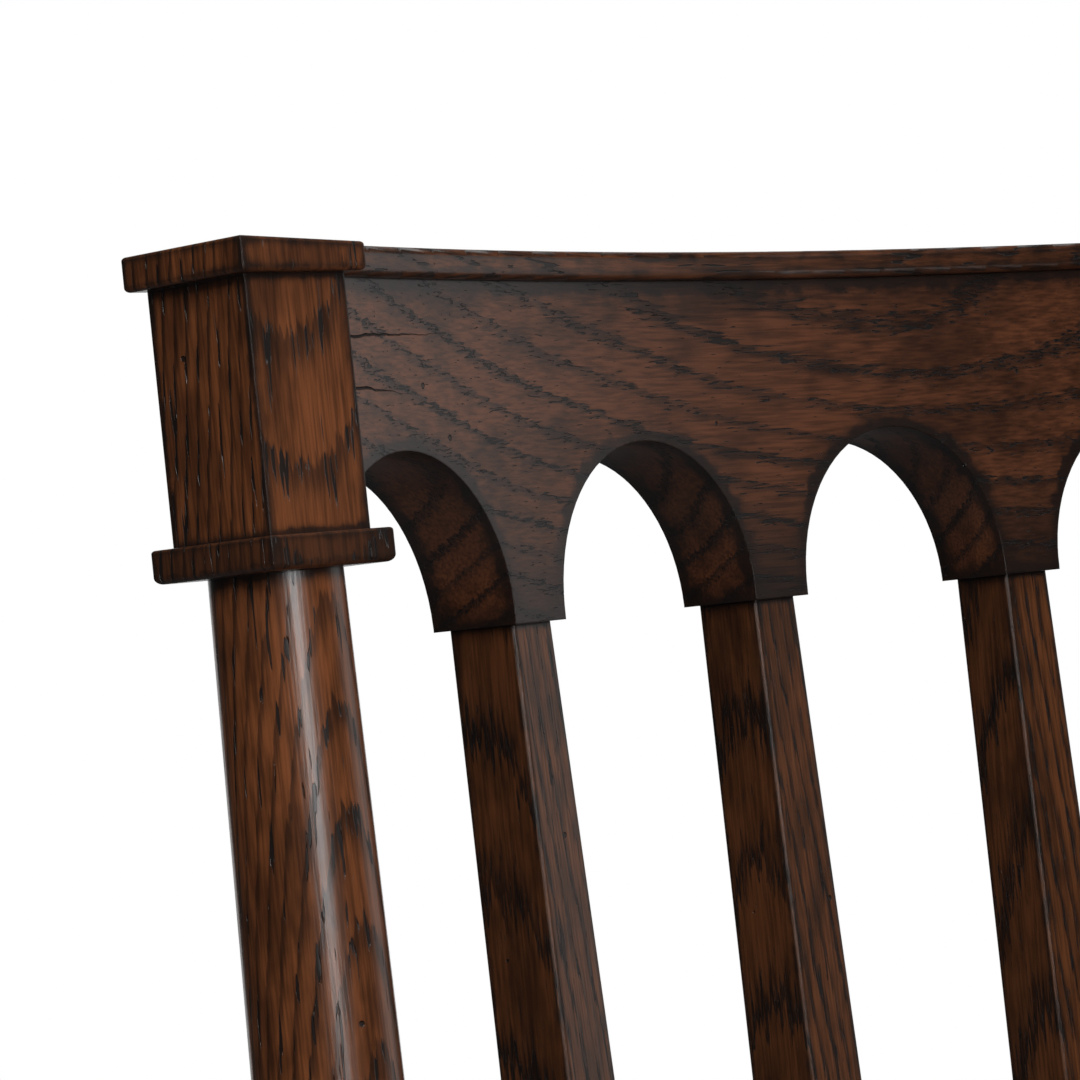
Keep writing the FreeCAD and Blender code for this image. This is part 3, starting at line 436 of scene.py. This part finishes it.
# Foot glides: dark nylon discs nailed under the feet, which keep the end grain off the floor. They are
# scuffed grey in places.
SCUFF_LUMP = (2, 2, 2)
DARK_NYLON = (0.03, 0.028, 0.026, 1)
SCUFFED_NYLON = (0.075, 0.07, 0.064, 1)
NYLON_ROUGHNESS = (0.35, 0.6)
nylon = bpy.data.materials.new("dark_nylon")
nylon.use_nodes = True
g = Finish(nylon.node_tree)
plastic = nylon.node_tree.nodes["Principled BSDF"]
place = g.vector("MULTIPLY", g.add("TexCoord").outputs["Object"], MILLIMETRES)
scuff = g.noise(place, SCUFF_LUMP, detail=4)
g.put(plastic.inputs, **{
    "Base Color": g.blend(scuff, DARK_NYLON, SCUFFED_NYLON),
    "Roughness": g.ease(scuff, 0.3, 0.7, *NYLON_ROUGHNESS),
})
dress("foot_glides", nylon)

# Floor: a round pale studio floor, shown whiter towards its rim, where it runs into the white surround.
# It throws little light back on the chair.
FLOOR_RADIUS = 3.1
FLOOR_POINTS = 128
FLOOR_IN_LIGHT = (0.15, 0.15, 0.15, 1)
FLOOR_SHOWN = (0.85, 0.85, 0.85, 1)
FLOOR_ROUGHNESS = 0.6
WHITE = (1, 1, 1, 1)
GLOW_UNDER_CHAIR = 0.4
GLOW_AT_RIM = 1.0
GLOW_FROM = 0.2 * FLOOR_RADIUS
GLOW_FULL = 0.9 * FLOOR_RADIUS
turns = [2 * math.pi * point / FLOOR_POINTS for point in range(FLOOR_POINTS)]
rim = [(FLOOR_RADIUS * math.cos(turn), FLOOR_RADIUS * math.sin(turn), 0) for turn in turns]
mesh = bpy.data.meshes.new("floor")
mesh.from_pydata(rim, [], [range(FLOOR_POINTS)])
floor = bpy.data.objects.new("floor", mesh)
bpy.context.scene.collection.objects.link(floor)
pale = bpy.data.materials.new("pale_floor")
pale.use_nodes = True
g = Finish(pale.node_tree)
paint = pale.node_tree.nodes["Principled BSDF"]
path = g.add("LightPath").outputs
seen = g.math("MAXIMUM", path["Is Camera Ray"], path["Is Transmission Ray"])
away = g.measure("LENGTH", g.add("TexCoord").outputs["Object"])
glow = g.ease(away, GLOW_FROM, GLOW_FULL, GLOW_UNDER_CHAIR, GLOW_AT_RIM)
g.put(paint.inputs, **{
    "Base Color": g.blend(seen, FLOOR_IN_LIGHT, FLOOR_SHOWN),
    "Emission Strength": g.math("MULTIPLY", seen, glow),
})
paint.inputs["Emission Color"].default_value = WHITE
paint.inputs["Roughness"].default_value = FLOOR_ROUGHNESS
mesh.materials.append(pale)

# Surround: white to the eye all round, and to reflections behind the chair, where the photograph has its
# backdrop. It lights the chair only faintly.
SURROUND = 0.025
BACKDROP_WAY = (0.742, 0.666, 0.0)
BACKDROP_EDGE = (0.8, 0.95)
world = bpy.data.worlds.new("studio")
bpy.context.scene.world = world
world.use_nodes = True
world.node_tree.nodes.clear()
g = Finish(world.node_tree)
path = g.add("LightPath").outputs
seen = g.math("MAXIMUM", path["Is Camera Ray"], path["Is Transmission Ray"])
behind = g.measure("DOT_PRODUCT", g.add("TexCoord").outputs["Generated"], BACKDROP_WAY)
mirrored = g.math("MULTIPLY", path["Is Glossy Ray"], g.ease(behind, *BACKDROP_EDGE))
seen = g.math("MAXIMUM", seen, mirrored)
sky = g.add("Background", {"Strength": g.math("MULTIPLY_ADD", seen, 1.0 - SURROUND, SURROUND)})
sky.inputs["Color"].default_value = WHITE
world.node_tree.links.new(sky.outputs[0], g.add("OutputWorld").inputs[0])

# Lamps: a tall narrow softbox in front of the post, one high on its left, a wide weak one on the right for
# the sheen of the rail, and one above. All of them point at the head of the left post.
LAMPS_AIM = Vector((-0.2, 0.27, 0.9))


def softbox(name, place, size, watts):
    lamp = bpy.data.lights.new(name, "AREA")
    lamp.shape = "RECTANGLE"
    lamp.size, lamp.size_y = size
    lamp.energy = watts
    thing = bpy.data.objects.new(name, lamp)
    thing.location = place
    thing.rotation_euler = (LAMPS_AIM - thing.location).to_track_quat("-Z", "Y").to_euler()
    thing.visible_camera = False
    bpy.context.scene.collection.objects.link(thing)


softbox("key", place=(-0.6, -0.88, 1.42), size=(0.28, 1.2), watts=12.5)
softbox("upper_left", place=(-1.6, 0.2, 2.4), size=(1.0, 1.0), watts=18)
softbox("side", place=(2.6, -0.3, 1.3), size=(1.8, 2.2), watts=8)
softbox("above", place=(0.4, 0.5, 3.2), size=(1.4, 1.4), watts=16)

# Camera: at the height of the caps, to the left of the chair and in front of it, with a long lens. Its
# place and its three axes come from a fit to edges measured in the photograph.
LENS = 148.92
SENSOR = 36
CAMERA_PLACE = (-1.1846, -0.6828, 0.9973)
CAMERA_RIGHT = Vector((0.66787, -0.74428, 0.00192))
CAMERA_UP = Vector((0.05432, 0.05132, 0.99721))
CAMERA_VIEW = Vector((0.7423, 0.66589, -0.07471))
lens = bpy.data.cameras.new("camera")
lens.lens = LENS
lens.sensor_width = SENSOR
camera = bpy.data.objects.new("camera", lens)
camera.rotation_euler = Matrix((CAMERA_RIGHT, CAMERA_UP, -CAMERA_VIEW)).transposed().to_euler()
camera.location = CAMERA_PLACE
bpy.context.scene.collection.objects.link(camera)
bpy.context.scene.camera = camera
bpy.context.scene.view_settings.view_transform = "Standard"
